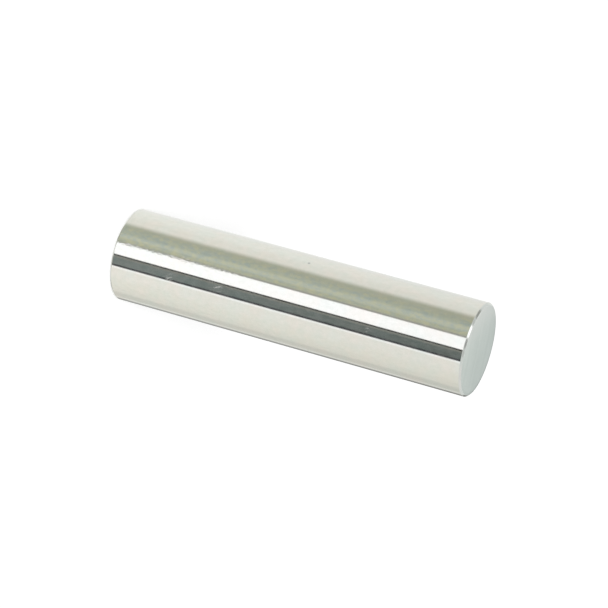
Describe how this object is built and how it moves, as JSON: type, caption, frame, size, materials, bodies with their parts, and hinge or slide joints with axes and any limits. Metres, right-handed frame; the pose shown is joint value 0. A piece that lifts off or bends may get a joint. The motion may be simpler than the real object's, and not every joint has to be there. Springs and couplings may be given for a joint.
{
  "type": "pin gauge",
  "caption": "Plain cylindrical pin gauge: a lapped steel pin with flat ground ends and chamfered edges, for checking hole sizes.",
  "frame": {"origin": "centre of the lower end face, which the pin stands on", "axes": "+Z along the pin's axis, from the lower end to the upper end; X and Y are free, because the pin is round"},
  "size_m": [0.0126, 0.0126, 0.0508],
  "materials": {
    "lapped_steel": "hardened bearing steel, lapped mirror bright on the cylinder and ground satin on both ends"
  },
  "bodies": {
    "root": {"gauge_pin": "lapped_steel"}
  },
  "joints": []
}
